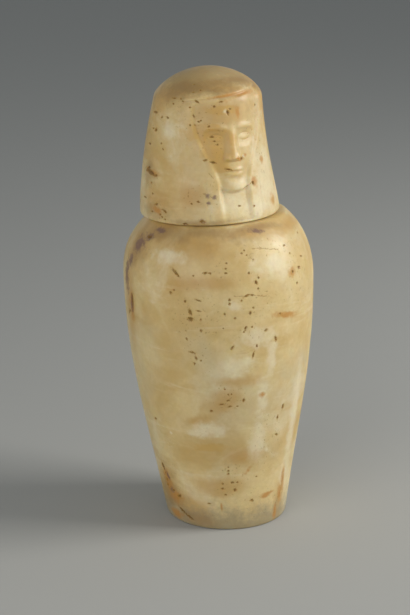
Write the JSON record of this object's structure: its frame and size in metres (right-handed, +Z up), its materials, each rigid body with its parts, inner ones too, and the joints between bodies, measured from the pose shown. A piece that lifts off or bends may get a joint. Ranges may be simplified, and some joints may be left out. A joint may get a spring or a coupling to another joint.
{
  "type": "canopic jar",
  "caption": "Hollow alabaster funerary jar with tapering body, round shoulder and a lift-off stopper carved as a human head in a plain wig.",
  "frame": {"origin": "on the standing plane, under the middle of the belly", "axes": "+Z up along the jar's height; the carved face looks along -Y; +X is the figure's left"},
  "size_m": [0.1865, 0.1867, 0.45],
  "materials": {
    "jar_alabaster": "honey to cream calcite alabaster, slightly translucent, worn soft gloss, brown pits and rust veins",
    "lid_alabaster": "honey to cream calcite alabaster, slightly translucent, worn soft gloss, brown pits and a darker mottled crown"
  },
  "bodies": {
    "root": {"jar": "jar_alabaster", "lid": "lid_alabaster"}
  },
  "joints": []
}
